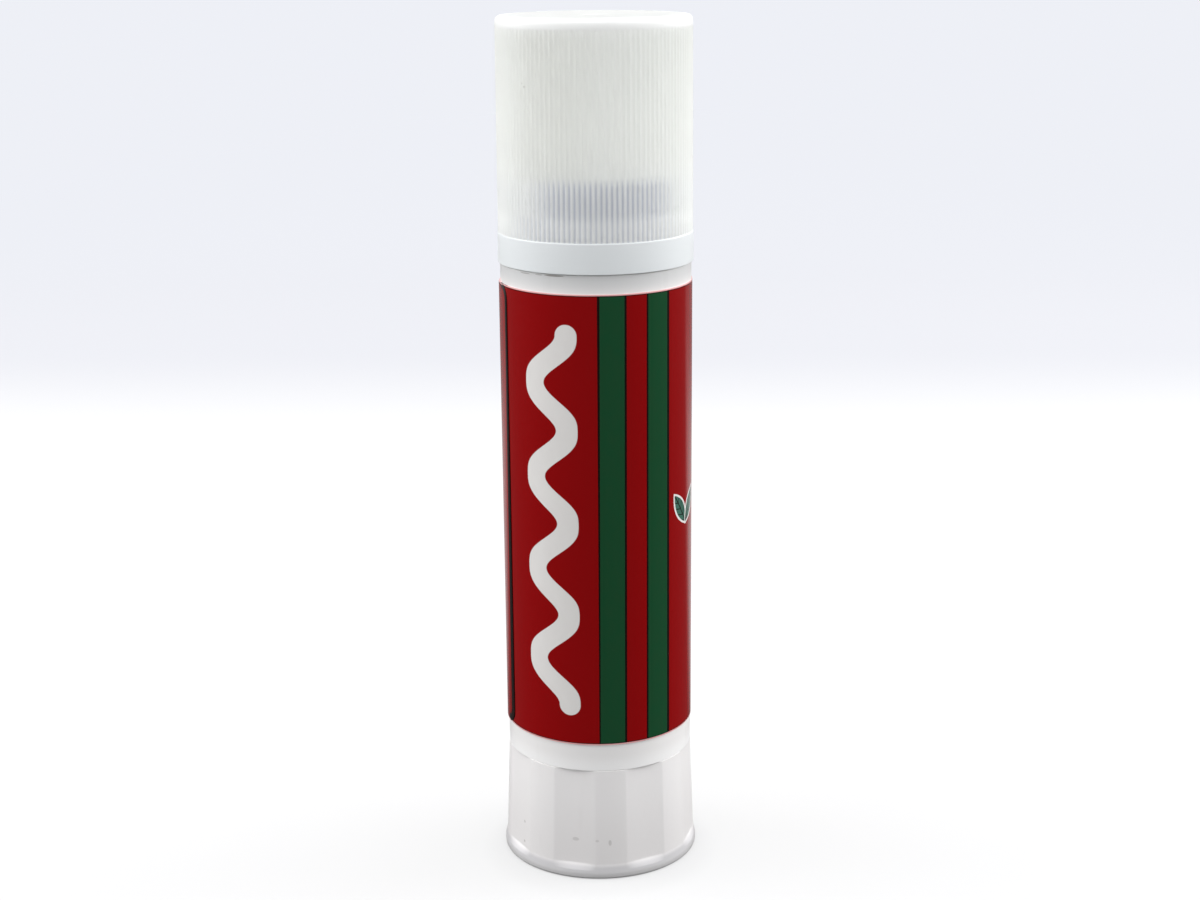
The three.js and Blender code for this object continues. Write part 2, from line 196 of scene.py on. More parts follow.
# A material whose patterns are placed in millimetres: x, y, height and the angle round the stick.
class Finish:
    def __init__(self, name):
        self.material = bpy.data.materials.new(name)
        self.material.use_nodes = True
        self.tree = self.material.node_tree
        self.tree.nodes.clear()
        self.place = self.node("TexCoord", {}, {}, "Object")
        self.x, self.y, self.height = (self.node("SeparateXYZ", {}, {0: self.place}, k) * 1000 for k in "XYZ")

    # Any node, by its type, its settings, and the numbers, colours or links of its sockets
    def node(self, kind, settings, inputs, output=0):
        made = self.tree.nodes.new("ShaderNode" + kind)
        for name, setting in settings.items():
            setattr(made, name, setting)
        for name, given in inputs.items():
            if isinstance(given, Value):
                self.tree.links.new(given.socket, made.inputs[name])
            elif made.inputs[name].type == "RGBA":
                made.inputs[name].default_value = (*given, 1)
            else:
                made.inputs[name].default_value = given
        return Value(self, made.outputs[output])

    def angle(self):
        return self.node("Math", {"operation": "ARCTAN2"}, {0: self.x, 1: 0 - self.y}) * math.degrees(1)

    # 0 below low, 1 above high, and smooth between them
    def rise(self, number, low, high):
        return self.node("MapRange", {"interpolation_type": "SMOOTHSTEP"}, {0: number, 1: low, 2: high})

    def blend(self, share, first, second):
        return self.node("Mix", {"data_type": "RGBA"}, {0: share, 6: first, 7: second}, 2)

    # Soft noise of that many cells to the metre, stretched by scaling each axis
    def noise(self, cells, stretch=(1, 1, 1), detail=3.0):
        spot = self.node("Mapping", {}, {"Vector": self.place, "Scale": stretch})
        return self.node("TexNoise", {}, {"Vector": spot, "Scale": cells, "Detail": detail})

    def larger(self, one, other):
        return self.node("Math", {"operation": "MAXIMUM"}, {0: one, 1: other})

    # How far the place (x, y) is from the middle
    def length(self, x, y):
        spot = self.node("CombineXYZ", {}, {"X": x, "Y": y})
        return self.node("VectorMath", {"operation": "LENGTH"}, {0: spot}, "Value")

    def bump(self, height, depth, strength=1.0):
        return self.node("Bump", {}, {"Height": height, "Distance": depth, "Strength": strength})

    # The dark dots of dust caught in a moulding: where a cell's centre is near, in one cell of a few
    def specks(self, cells, size, share):
        near = self.node("TexVoronoi", {}, {"Vector": self.place, "Scale": cells}, "Distance")
        lot = self.node("TexVoronoi", {}, {"Vector": self.place, "Scale": cells}, "Color")
        chosen = self.rise(self.node("SeparateColor", {}, {0: lot}), 1 - share, 1.005 - share)
        return (1 - self.rise(near, size * 0.5, size)) * chosen

    # 1 on the side at an angle, fading to 0 between two angles from it
    def facing(self, given):
        turn, near, far = given
        return 1 - self.rise(abs(self.angle() - turn), near, far)

    # Dark marks, each given by its angle, height, half length, half thickness and strength
    def marks(self, given, radius):
        worn = self.noise(1700) * 0.8 + 0.6
        angle = self.angle()
        total = None
        for turn, height, length, thickness, strength in given:
            x = (angle - turn) * (math.radians(radius) / length)
            y = (self.height - height) * (1 / thickness)
            mark = (1 - self.rise((x * x + y * y) * worn, 0.4, 1.0)) * strength
            total = mark if total is None else self.larger(total, mark)
        return total

    def principled(self, **inputs):
        named = {name.replace("_", " "): given for name, given in inputs.items()}
        return self.node("BsdfPrincipled", {}, named)

    def done(self, shader):
        end = self.tree.nodes.new("ShaderNodeOutputMaterial")
        self.tree.links.new(shader.socket, end.inputs[0])
        return self.material


# Cap

cap = {
    "base": 81.46,
    "top": 112.45,
    "crownRadius": 12.48,
    "crownBend": 0.9,
    "skirtRadius": 12.57,
    "collarRadius": 12.63,
    "collarTop": 85.4,
    "ribs": 118,
    "ribDepth": 0.12,
    "ribsFadeFrom": 110.6,
    "ribsFadeTo": 111.2,
    "bore": 11.52,
    "ceiling": 111.35,
    "ceilingBend": 0.9,
    "lead": 0.4,
    "gateRadius": 1.5,  # the dimple where the plastic was let in
    "gateDepth": 0.15,
    "colour": (0.94, 0.945, 0.93),
    "cloudColour": (0.905, 0.91, 0.895),
    # painted highlight: the crown's rounding is painted lighter
    "crownHighlightColour": (0.97, 0.97, 0.97),
    "dirtColour": (0.35, 0.33, 0.31),
    "throughColour": (0.985, 0.99, 0.977),
    "collarColour": (0.93, 0.96, 0.975),
    "grooveShadeColour": (0.16, 0.19, 0.36),  # painted shade: a dark tint in the grooves, where the shaded neck stands behind the thin plastic
    "grooveShadeShare": (0.52, 0.85),  # in front of the seat and in front of the neck
    "seatZone": (87.6, 89.0),
    "neckZone": (92.0, 93.6),  # heights between which the neck behind the ribs ends
    # Each painted shade's angle, and how far from it the shade starts and stops fading
    "seatShade": (0.0, 26.0, 72.0),
    "neckShade": (7.0, 27.0, 52.0),
    "wallShade": (-27.0, 5.0, 34.0),
    "shadeColour": (0.82, 0.825, 0.80),
    "topShadeColour": (0.60, 0.605, 0.60),  # painted shade: the flat top is painted darker, as it gets the most light
    "topRise": (111.6, 112.0),
    "topZone": (11.2, 11.8),
    "through": (0.2, 0.5, 0.65, 0.3),  # shares of the light that pass the collar, the seat, the ribs and the crown
    "roughness": 0.3,
    "marks": [(-42.7, 104.2, 0.3, 0.14, 0.75), (-44.5, 104.6, 0.15, 0.12, 0.5)],
}


# Ribs are narrow and round with wider grooves: the groove's depth is 1 - |cos|^3 of half the rib angle.
def capMesh(c):
    angles = np.linspace(0, 360, c["ribs"] * 8, endpoint=False)
    groove = c["ribDepth"] * (1 - np.abs(np.cos(np.radians(angles * c["ribs"] / 2))) ** 3)
    corners = [
        (0, c["ceiling"], 0),
        (c["bore"], c["ceiling"], c["ceilingBend"]),
        (c["bore"], c["base"] + c["lead"], 0.1),
        (c["bore"] + c["lead"], c["base"], 0.1),
        (c["collarRadius"], c["base"], 0.1),
        (c["collarRadius"], c["collarTop"] - 0.15, 0.06),
        (c["skirtRadius"] - groove * 0.4, c["collarTop"] + 0.02, 0.012),
        (c["skirtRadius"] - groove, c["collarTop"] + 0.06, 0),
        (c["crownRadius"] - groove, c["ribsFadeFrom"], 0),
        (c["crownRadius"] - groove * 0.6, (c["ribsFadeFrom"] + c["ribsFadeTo"]) / 2, 0),
        (c["crownRadius"], c["ribsFadeTo"], 0),
        (c["crownRadius"], c["top"], c["crownBend"]),
        (c["gateRadius"], c["top"], 0.2),
        (c["gateRadius"] * 0.7, c["top"] - c["gateDepth"], 0.15),
        (0, c["top"] - c["gateDepth"], 0),
    ]
    return meshOn("cap", carriedRound(bentRows(corners, len(angles)), angles), "poles")


# The painted shade in the grooves is strongest in the middle of a groove, which is where (1 - cos(ribs times angle))
# / 2 is 1.
def capFinish(c):
    f = Finish("capPlastic")
    cloud = f.noise(140, (1, 1, 0.5))
    grain = f.noise(2600, detail=2.0)
    aboveCollar = f.rise(f.height, c["collarTop"] - 0.1, c["collarTop"])
    aboveSeat = f.rise(f.height, *c["seatZone"])
    crown = f.rise(f.height, c["ribsFadeTo"] - 0.4, c["ribsFadeTo"])
    phase = f.angle() * math.radians(c["ribs"])
    groove = f.node("Math", {"operation": "COSINE"}, {0: phase}) * -0.5 + 0.5
    aboveNeck = f.rise(f.height, *c["neckZone"])
    colour = f.blend(cloud * 0.25, c["colour"], c["cloudColour"])
    low, high = c["grooveShadeShare"]
    # Painted shade: the grooves in front of the seat and the neck take a dark tint on the front side only, and it
    # stays on the cap when it is lifted
    overSeat = f.facing(c["seatShade"]) * (1 - aboveSeat) * low
    overNeck = f.facing(c["neckShade"]) * aboveSeat * (1 - aboveNeck) * high
    paintedGrooveShade = groove * groove * aboveCollar * (overSeat + overNeck)
    # Painted shade on the front left of the wall above the neck
    colour = f.blend(f.facing(c["wallShade"]) * aboveNeck, colour, c["shadeColour"])
    colour = f.blend(paintedGrooveShade, colour, c["grooveShadeColour"])
    # Painted highlight: the crown's rounding is lighter
    colour = f.blend(crown, colour, c["crownHighlightColour"])
    # Painted shade: the flat top is darker
    onTop = f.rise(f.height, *c["topRise"]) * (1 - f.rise(f.length(f.x, f.y), *c["topZone"]))
    colour = f.blend(onTop, colour, c["topShadeColour"])
    colour = f.blend(aboveCollar, c["collarColour"], colour)
    grime = f.rise(f.noise(300, (1, 1, 0.4)), 0.6, 0.8) * 0.03
    dirt = f.larger(grime, f.marks(c["marks"], c["skirtRadius"]))
    relief = f.bump(grain, 0.00002, 0.4)
    front = f.principled(
        Base_Color=f.blend(dirt, colour, c["dirtColour"]),
        Roughness=c["roughness"] + cloud * 0.12,
        Normal=relief,
    )
    behind = f.node("BsdfTranslucent", {}, {"Color": c["throughColour"], "Normal": relief})
    collar, seat, ribs, top = c["through"]
    share = aboveCollar * (seat - collar) + aboveSeat * (ribs - seat) + crown * (top - ribs) + collar
    return f.done(f.node("MixShader", {}, {0: share, 1: front, 2: behind}))


addPiece("capShell", capMesh(cap), "cap_body", "cap", "cap_plastic", capFinish(cap))

# Barrel

barrel = {
    "base": 15.3,
    "radius": 12.38,
    "shoulder": 81.4,
    "seatRadius": 11.42,
    "seatTop": 88.4,
    "neckRadius": 11.15,
    "neckTop": 88.8,
    "mouth": 92.6,
    "bore": 10.2,
    "floor": (17.3, 18.9),
    "floorHole": 3.1,
    "spigot": (10.1, 11.2),
    "spigotEnd": 10.3,
    "guideStart": 45,
    "guideSpacing": 90,
    "guideHalf": 4.5,
    "guideHeight": 0.6,
    "guideTop": 89.6,
    "colour": (0.92, 0.90, 0.89),
    "cloudColour": (0.86, 0.85, 0.84),
    "lowPaintedShading": (0.99, 0.98, 0.975),  # painted light: the bare strip over the knob is painted lighter
    "lowZone": 2.5,  # height over which it ends
    "underCollarShadeColour": (0.70, 0.70, 0.70),  # painted shade: the bare strip under the cap's collar is painted darker
    "underCollarShadeZone": (3.2, 0.6),  # how far below the shoulder it starts and is full
    "neckShadeColour": (0.72, 0.73, 0.78),  # painted shade: the neck is painted darker, for how it looks through the cap
    "seatColour": (0.90, 0.91, 0.94),
    "mouthShadeColour": (0.56, 0.565, 0.58),  # painted shade: the rim is painted darker, as it gets more light
    "dirtColour": (0.3, 0.28, 0.27),
    "roughness": 0.32,
    "marks": [
        (-24.0, 81.22, 1.6, 0.12, 0.9),
        (-34.0, 81.2, 0.7, 0.1, 0.5),
        (-44.6, 81.15, 1.0, 0.09, 0.6),
    ],
}


# A tube turned on the axis, whose bore steps in by the guides' height within half a guide of each guide's angle.
def barrelMesh(b):
    angles = anglesWithEdges(360, b["guideStart"], b["guideSpacing"], b["guideHalf"])
    guide = b["guideHeight"] * (offFrom(angles, b["guideStart"], b["guideSpacing"]) < b["guideHalf"])
    low, high = b["floor"]
    corners = [
        (b["floorHole"], low, 0.1),
        (b["spigot"][0], low, 0.1),
        (b["spigot"][0], b["spigotEnd"], 0.1),
        (b["spigot"][1], b["spigotEnd"], 0.25),
        (b["spigot"][1], b["base"], 0.1),
        (b["radius"], b["base"], 0.04),
        (b["radius"], b["shoulder"], 0.15),
        (b["seatRadius"], b["shoulder"], 0.1),
        (b["seatRadius"], b["seatTop"], 0.12),
        (b["neckRadius"], b["neckTop"], 0.12),
        (b["neckRadius"], b["mouth"], 0.25),
        (b["bore"], b["mouth"], 0.15),
        (b["bore"], b["guideTop"] + 0.3, 0),
        (b["bore"] - guide, b["guideTop"], 0),
        (b["bore"] - guide, high, 0),
        (b["floorHole"], high, 0.1),
    ]
    return meshOn("barrel", carriedRound(bentRows(corners, len(angles)), angles), "tube")


def barrelFinish(b):
    f = Finish("barrelPlastic")
    cloud = f.noise(120, (1, 1, 0.4))
    scuff = f.rise(f.noise(420, (1, 1, 0.12)), 0.62, 0.75)
    dust = f.specks(260, 0.1, 0.06)
    base, shoulder, mouth = b["base"], b["shoulder"], b["mouth"]
    starts, full = b["underCollarShadeZone"]
    colour = f.blend(cloud * 0.3, b["colour"], b["cloudColour"])
    # Painted light: the strip over the knob is lighter
    colour = f.blend(f.rise(f.height, base, base + b["lowZone"]), b["lowPaintedShading"], colour)
    # Painted shade: the strip under the collar is darker
    colour = f.blend(f.rise(f.height, shoulder - starts, shoulder - full), colour, b["underCollarShadeColour"])
    colour = f.blend(f.rise(f.height, shoulder + 0.2, shoulder + 1.0), colour, b["seatColour"])
    # Painted shade: the neck is darker
    colour = f.blend(f.rise(f.height, b["seatTop"] - 0.4, b["neckTop"]), colour, b["neckShadeColour"])
    # Painted shade: the rim is darker
    colour = f.blend(f.rise(f.height, mouth - 0.2, mouth - 0.05), colour, b["mouthShadeColour"])
    dirt = f.larger(dust * 0.5 + scuff * 0.05, f.marks(b["marks"], b["radius"]))
    return f.done(
        f.principled(
            Base_Color=f.blend(dirt, colour, b["dirtColour"]),
            Roughness=b["roughness"] + scuff * 0.15,
            Normal=f.bump(f.noise(1800, detail=2.0), 0.00002, 0.3),
        )
    )


addPiece("barrelTube", barrelMesh(barrel), "barrel_body", "barrel", "barrel_plastic", barrelFinish(barrel))

# Label

label = {
    "low": 19.0,
    "high": 79.0,
    "inner": 12.40,
    "thickness": 0.1,
    "lapStart": -84.5,
    "lapEnd": -64.5,
    "lapRise": 1.5,
    "lapCorner": 2.0,
    "red": (0.265, 0.0018, 0.0026),
    "green": (0.0065, 0.066, 0.025),
    "black": (0.006, 0.004, 0.003),
    "white": (0.80, 0.78, 0.76),
    "film": (0.85, 0.45, 0.45),  # of the cut edge
    "filmCloud": (0.8, 0.55, 0.55),
    "inkCloud": (0.15, 0.01, 0.01),
    "lapEdgeShadow": (1.0, 0.5),  # width of the painted shadow along the free end, at the label's foot and at its top
    "roughness": 0.13,
    # Angles of the bands' edges at the label's foot and at its top; a band's edge is straight between them
    "stripes": [
        (0.9, 1.55, "black"),
        (1.7, 3.0, "green"),
        (16.6, 17.5, "black"),
        (17.9, 18.8, "red"),
        (30.9, 31.4, "black"),
        (32.1, 32.6, "green"),
        (47.0, 46.8, "black"),
        (48.9, 48.6, "red"),
    ],
    "wave": {"angle": -27.5, "low": 24.5, "high": 73.7, "reach": 2.3, "period": 12.3, "half": 1.45},
    "leaves": {"angle": 67.5, "height": 49.5, "length": 2.6, "half": 1.0, "lean": 35.0, "apart": 1.45, "rim": 0.3},
    "leafGreen": (0.05, 0.15, 0.11),
}


# A strip wound a full turn and the lap: its radius grows by its thickness over the lap's rise, and the height of its
# edges follows a quarter circle at the free end's corners.
def labelMesh(b):
    turnEnd = b["lapStart"] + 360
    end = b["lapEnd"] + 360
    outer = b["inner"] + b["thickness"]
    corner = math.degrees(b["lapCorner"] / outer)
    angles = np.concatenate([
        np.linspace(b["lapStart"], turnEnd - b["lapRise"], 358, endpoint=False),
        np.linspace(turnEnd - b["lapRise"], turnEnd, 12, endpoint=False),
        np.linspace(turnEnd, end - corner, 10, endpoint=False),
        end - corner + corner * np.sin(np.linspace(0, np.pi / 2, 14)),
    ])
    climb = np.clip((angles - turnEnd) / b["lapRise"] + 1, 0, 1)
    inner = b["inner"] + (b["thickness"] + 0.006) * climb * climb * (3 - 2 * climb)
    into = np.clip((angles - end) / corner + 1, 0, 1)
    trim = b["lapCorner"] * (1 - np.sqrt(1 - into ** 2))
    outside = inner + b["thickness"]
    corners = [
        (inner, b["low"] + trim, 0.02),
        (outside, b["low"] + trim, 0.03),
        (outside, b["high"] - trim, 0.03),
        (inner, b["high"] - trim, 0.02),
    ]
    mesh = meshOn("label", carriedRound(bentRows(corners, len(angles)), angles), "strip")
    perCorner = 8  # rows that bentRows gives a bent corner
    rows = np.arange(len(corners) * perCorner)
    # The outside, from the middle of the second corner to the middle of the third
    printed = (rows >= 1.5 * perCorner) & (rows < 2.5 * perCorner - 1)
    finish = np.append(np.repeat(~printed, len(angles) - 1), [True, True]).astype(np.int32)
    mesh.polygons.foreach_set("material_index", finish)
    return mesh


# A wavy ribbon: the distance to the line x = reach cos(height), divided by the line's lean, with a round end at each
# turn where it stops.
def waveMask(f, w, across):
    turn = 2 * math.pi / w["period"]
    phase = (f.height - w["low"]) * turn
    slope = f.node("Math", {"operation": "SINE"}, {0: phase}) * (w["reach"] * turn)
    lean = f.node("Math", {"operation": "SQRT"}, {0: slope * slope + 1})
    line = f.node("Math", {"operation": "COSINE"}, {0: phase}) * w["reach"]
    within = f.rise(f.height, w["low"] - 0.02, w["low"]) * (1 - f.rise(f.height, w["high"], w["high"] + 0.02))
    mask = (1 - f.rise(abs(across - line) / lean, w["half"] - 0.05, w["half"] + 0.05)) * within
    for end in ("low", "high"):
        side = w["reach"] * math.cos((w[end] - w["low"]) * turn)
        distance = f.length(across - side, f.height - w[end])
        mask = f.larger(mask, 1 - f.rise(distance, w["half"] - 0.05, w["half"] + 0.05))
    return mask


# A leaf: half its width is 1 - (u / length)^2 along its middle line u. Gives how far in a place lies, and its veins.
def leafShape(f, spot, across, side):
    turn = math.radians(spot["lean"] * side)
    x = across - spot["apart"] * side
    y = f.height - spot["height"]
    u = x * math.sin(turn) + y * math.cos(turn)
    v = x * math.cos(turn) - y * math.sin(turn)
    inside = (1 - u * u * (1 / spot["length"] ** 2)) * spot["half"] - abs(v)
    branch = f.node("Math", {"operation": "PINGPONG"}, {0: abs(v) - u, 1: 0.55})
    veins = f.larger(1 - f.rise(abs(v), 0.05, 0.12), 1 - f.rise(branch, 0.05, 0.12))
    return inside, veins


# The painted shadow inside the free end's outline. How far a place is from a box with round corners is the length of
# its distances past the corner's middle, less the corner's radius.
def lapEdgeShadow(f, b, angle, off, up):
    corner = b["lapCorner"]
    x = f.larger((angle - b["lapEnd"]) * math.radians(b["inner"] + b["thickness"]) + corner, 0)
    y = f.larger(off - ((b["high"] - b["low"]) / 2 - corner), 0)
    away = f.length(x, y) - corner
    foot, top = b["lapEdgeShadow"]
    width = up * (top - foot) + foot
    inside = f.rise(away + width, -0.12, 0.12) * (1 - f.rise(away, 0.04, 0.12))
    return inside * f.rise(angle, b["lapEnd"] - 12, b["lapEnd"] - 8)


def labelFinish(b):
    f = Finish("labelPrint")
    angle = f.angle()
    up = (f.height - b["low"]) * (1 / (b["high"] - b["low"]))
    colour = b["red"]
    for low, high, name in b["stripes"]:
        edge = up * (high - low) + low
        colour = f.blend(f.rise(angle - edge, -0.12, 0.12), colour, b[name])
    arc = math.radians(b["inner"] + b["thickness"])
    wave, leaves = b["wave"], b["leaves"]
    colour = f.blend(waveMask(f, wave, (angle - wave["angle"]) * arc), colour, b["white"])
    for side in (-1, 1):
        inside, veins = leafShape(f, leaves, (angle - leaves["angle"]) * arc, side)
        colour = f.blend(f.rise(inside, -leaves["rim"], 0.06 - leaves["rim"]), colour, b["white"])
        leaf = f.blend(veins, b["leafGreen"], b["black"])
        colour = f.blend(f.rise(inside, 0.0, 0.06), colour, leaf)
    middle, half = (b["low"] + b["high"]) / 2, (b["high"] - b["low"]) / 2
    off = abs(f.height - middle)
    # Painted shadow along the free end's edge
    colour = f.blend(lapEdgeShadow(f, b, angle, off, up), colour, b["black"])
    colour = f.blend(f.rise(off, half - 0.36, half - 0.26) * 0.7, colour, b["black"])
    colour = f.blend(f.rise(off, half - 0.2, half - 0.14), colour, b["film"])
    ink = f.noise(900, (1, 1, 0.6), 5.0)
    colour = f.blend(ink * 0.05, colour, b["inkCloud"])
    rub = f.rise(f.noise(260, (1, 1, 0.2)), 0.6, 0.8)
    ripple = f.noise(90, (1, 1, 0.35), 2.0)
    return f.done(
        f.principled(
            Base_Color=colour,
            Roughness=b["roughness"] + rub * 0.08,
            Specular_IOR_Level=0.28,
            Normal=f.bump(ripple, 0.00008, 0.35),
        )
    )


def filmFinish(b):
    f = Finish("labelFilm")
    colour = f.blend(f.noise(700), b["film"], b["filmCloud"])
    angle, end = f.angle(), b["lapEnd"]
    # Painted shade: the film at the free end is black
    freeEndShade = f.rise(angle, end - 12, end - 10) * (1 - f.rise(angle, end + 0.5, end + 1))
    colour = f.blend(freeEndShade, colour, b["black"])
    return f.done(f.principled(Base_Color=colour, Roughness=0.35))


addPiece("labelFilm", labelMesh(label), "barrel_body", "label", "label_film", labelFinish(label), filmFinish(label))

# Knob

knob = {
    "rim": 15.27,
    "rimRadius": 12.39,
    "wallRadius": 12.9,  # at the foot's upper edge
    "footRadius": 13.18,
    "footHeight": 0.8,
    "footBend": 0.42,
    "ledge": (13.08, 1.25),  # radius and height of the ledges' outer edge under the panels
    "ledgeTop": 2.05,
    "panelStart": 30,
    "panelSpacing": 45,
    "panelHalf": 13,
    "panelBlend": 0.003,
    "bore": 11.5,
    "floor": 2.4,
    "recess": (10.28, 0.6),
    "boss": (4.6, 17.1),
    "socket": (2.35, 5.0),
    "colour": (0.905, 0.882, 0.877),
    "cloudColour": (0.77, 0.755, 0.755),
    "dirtColour": (0.33, 0.31, 0.29),
    # Each of these painted shades ends over a zone of heights: the lower wall, the ledges and the foot's rounding are
    # painted darker
    "lowPaintedShading": (0.815, 0.79, 0.785),
    "lowZone": (2, 14),
    "ledgeShadeColour": (0.56, 0.55, 0.56),
    "ledgeZone": (1.4, 2.3),
    "footShadeColour": (0.60, 0.59, 0.59),  # painted shade on the rounding that the stick stands on
    "footZone": (0.3, 1.2),
    "roughness": 0.38,
    "marks": [
        (-54.2, 5.7, 0.3, 0.25, 0.4),
        (-14.4, 5.4, 0.55, 0.3, 0.3),
        (6.7, 5.1, 0.25, 0.45, 0.35),
        (-1.0, 5.4, 0.3, 0.2, 0.25),
    ],
}


# A cup whose wall is the smooth minimum of a circle and eight chords: the chord is cos(half) / cos(angle from its
# middle). Under each panel a ledge slopes out to the foot's edge.
def knobMesh(k):
    angles = np.linspace(0, 360, 768, endpoint=False)
    off = np.radians(offFrom(angles, k["panelStart"], k["panelSpacing"]))
    chord = math.cos(math.radians(k["panelHalf"])) / np.cos(off)
    w = k["panelBlend"]
    share = np.clip(0.5 + (1 - chord) / (2 * w), 0, 1)
    wall = chord * share + 1 - share - w * share * (1 - share)
    hexSide = k["socket"][0] / np.cos(np.radians(30 - offFrom(angles, 0, 60)))
    corners = [
        (0, k["recess"][1], 0),
        (k["recess"][0], k["recess"][1], 0.1),
        (k["recess"][0], 0, 0.1),
        (k["footRadius"], 0, k["footBend"]),
        (k["footRadius"], k["footHeight"], 0.15),
        (*k["ledge"], 0.09),
        (k["wallRadius"] * wall, k["ledgeTop"], 0.14),
        (k["rimRadius"] * wall, k["rim"], 0.06),
        (k["bore"], k["rim"], 0.1),
        (k["bore"], k["floor"], 0.4),
        (k["boss"][0], k["floor"], 0.4),
        (k["boss"][0], k["boss"][1], 0.2),
        (hexSide, k["boss"][1], 0.1),
        (hexSide, k["socket"][1], 0),
        (0, k["socket"][1], 0),
    ]
    return meshOn("knob", carriedRound(bentRows(corners, len(angles)), angles), "poles")


def knobFinish(k):
    f = Finish("knobPlastic")
    cloud = f.noise(160, (1, 1, 0.6))
    specks = f.specks(300, 0.09, 0.09)
    wipe = f.rise(f.noise(350, (1, 1, 0.25)), 0.55, 0.8)
    dirt = f.larger(specks * 0.55 + wipe * 0.05, f.marks(k["marks"], k["wallRadius"]))
    # Painted shade: the lower wall, the ledges and the foot's rounding are darker
    colour = f.blend(f.rise(f.height, *k["lowZone"]), k["lowPaintedShading"], k["colour"])
    colour = f.blend(cloud * 0.25, colour, k["cloudColour"])
    colour = f.blend(f.rise(f.height, *k["ledgeZone"]), k["ledgeShadeColour"], colour)
    colour = f.blend(f.rise(f.height, *k["footZone"]), k["footShadeColour"], colour)
    return f.done(
        f.principled(
            Base_Color=f.blend(dirt, colour, k["dirtColour"]),
            Roughness=k["roughness"] + wipe * 0.12,
            Normal=f.bump(f.noise(1500, detail=3.0), 0.00003, 0.35),
        )
    )


addPiece("knobCup", knobMesh(knob), "knob_body", "knob", "knob_plastic", knobFinish(knob))

# Glue

glue = {
    "base": 25.95,
    "height": 64.65,
    "radius": 10.1,
    "dome": 0.5,
    "edge": 0.9,
    "cup": (8.55, 3.0),
    "nut": (5.65, 1.6),
    "screwBore": (3.9, 59.15),
    "grooveRadius": 9.5,
    "grooveStart": 45,
    "grooveSpacing": 90,
    "grooveHalf": 5.3,
    "colour": (0.84, 0.83, 0.78),
    "cloudColour": (0.88, 0.87, 0.83),
    "topShadeColour": (0.54, 0.535, 0.50),  # painted shade: the top is painted darker, as it gets the most light
    "topZone": 0.5,
}


# A cast block turned on the axis, cut in to the groove's radius within half a groove of each guide's angle.
def glueMesh(g):
    angles = anglesWithEdges(240, g["grooveStart"], g["grooveSpacing"], g["grooveHalf"])
    cut = offFrom(angles, g["grooveStart"], g["grooveSpacing"]) < g["grooveHalf"]
    wall = np.where(cut, g["grooveRadius"], g["radius"])
    z, top = g["base"], g["base"] + g["height"]
    corners = [
        (0, z + g["screwBore"][1], 0),
        (g["screwBore"][0], z + g["screwBore"][1], 0.2),
        (g["screwBore"][0], z + g["nut"][1], 0.1),
        (g["nut"][0], z + g["nut"][1], 0.1),
        (g["nut"][0], z, 0.1),
        (g["cup"][0], z, 0.2),
        (g["cup"][0], z + g["cup"][1], 0.1),
        (wall, z + g["cup"][1], 0.1),
        (wall, top - g["dome"], g["edge"]),
        (5.0, top - g["dome"] * 0.25, 2.0),
        (0, top, 0),
    ]
    return meshOn("glue", carriedRound(bentRows(corners, len(angles)), angles), "poles")


def glueFinish(g):
    f = Finish("glueWax")
    cloud = f.noise(220)
    wave = f.noise(500, (1, 1, 0.3), 4.0)
    colour = f.blend(cloud * 0.5, g["colour"], g["cloudColour"])
    top = g["base"] + g["height"] - g["dome"]
    # Painted shade: the top is darker
    colour = f.blend(f.rise(f.height, top - g["topZone"], top), colour, g["topShadeColour"])
    return f.done(
        f.principled(
            Base_Color=colour,
            Roughness=wave * 0.2 + 0.4,
            Subsurface_Weight=0.4,
            Subsurface_Radius=(1.0, 0.9, 0.7),
            Subsurface_Scale=0.002,
            Normal=f.bump(wave, 0.00008, 0.5),
        )
    )


addPiece("glueBlock", glueMesh(glue), "carrier_body", "glue_stick", "glue", glueFinish(glue))

# Screw and carrier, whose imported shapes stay

inside = {
    "screw": (0.80, 0.80, 0.78),
    "carrier": (0.83, 0.83, 0.80),
    "cloud": (0.7, 0.69, 0.66),
}


def insideFinish(name, colour, stretch):
    f = Finish(name)
    flow = f.noise(240, stretch, 4.0)
    shade = f.blend(flow * 0.35, colour, inside["cloud"])
    gloss = f.noise(900, detail=2.0)
    relief = f.bump(gloss, 0.00003, 0.4)
    return f.done(f.principled(Base_Color=shade, Roughness=gloss * 0.15 + 0.38, Normal=relief))


def dress(node, finish):
    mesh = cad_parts[node].data
    mesh.materials.clear()
    mesh.materials.append(finish)
    print(node, "keeps its packed shape")


dress("spindle", insideFinish("screwPlastic", inside["screw"], (1, 1, 0.3)))
dress("carrier", insideFinish("carrierPlastic", inside["carrier"], (1, 1, 1)))

# Sweep, lamps and world

